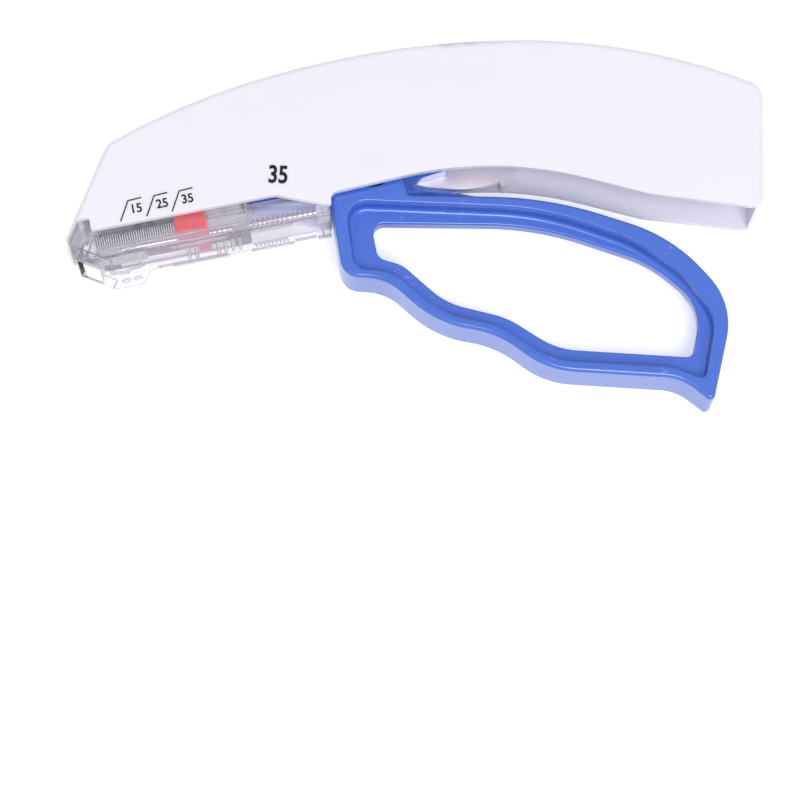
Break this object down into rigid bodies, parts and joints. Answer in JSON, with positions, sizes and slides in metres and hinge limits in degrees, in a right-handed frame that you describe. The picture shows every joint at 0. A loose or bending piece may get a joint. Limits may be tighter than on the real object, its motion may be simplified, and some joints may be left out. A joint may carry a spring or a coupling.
{
  "type": "skin stapler",
  "caption": "Hand-held skin stapler with a curved white housing, a hinged blue finger-loop trigger and a clear staple cartridge at the nose.",
  "frame": {"origin": "on the trigger's pivot axis, at the side face that the stapler lies on", "axes": "+X along the staple rail from the nose to the rear, +Y from the rail up to the spine, +Z through the thickness"},
  "size_m": [0.1684, 0.0983, 0.02],
  "materials": {
    "white_plastic": "moulded, satin white",
    "blue_plastic": "moulded, satin blue",
    "red_plastic": "moulded, satin red",
    "clear_plastic": "clear moulded plastic",
    "steel": "stamped stainless steel",
    "spring_steel": "drawn spring wire and strip",
    "staple_wire": "bright stainless wire"
  },
  "bodies": {
    "base": {"housing_lower": "white_plastic", "housing_upper": "white_plastic", "pivot_pin": "steel", "magazine_frame": "clear_plastic", "magazine_cover": "clear_plastic", "anvil_plate": "steel", "ejector_spring": "spring_steel", "staple_rail": "steel", "staple_stack": "staple_wire", "guide_rod": "steel", "spring_plug": "white_plastic", "pusher_spring": "spring_steel", "return_spring": "spring_steel"},
    "trigger": {"trigger": "blue_plastic", "drive_lever": "steel", "lever_rivets": "steel"},
    "former": {"former_blade": "steel", "former_cheek_lower": "steel", "former_cheek_upper": "steel", "drive_pin": "steel"},
    "pusher": {"pusher": "red_plastic"}
  },
  "joints": [
    {"name": "trigger_pivot", "type": "hinge", "parent": "base", "child": "trigger", "pos_m": [0, 0, 0], "axis": [0, 0, 1], "range_deg": [0, 10], "stiffness_Nm_per_rad": 1.2, "springref_deg": -6.88, "deforming": ["return_spring"]},
    {"name": "former_slide", "type": "slide", "parent": "base", "child": "former", "axis": [-0.5446, -0.8387, 0], "range_m": [0, 0.01021]},
    {"name": "pusher_feed", "type": "slide", "parent": "base", "child": "pusher", "axis": [-1, 0, 0], "range_m": [0, 0.0185], "deforming": ["staple_stack", "pusher_spring"]}
  ],
  "couplings": [
    {"joint": "former_slide", "follows": "trigger_pivot", "m_per_rad": 0.058442}
  ]
}
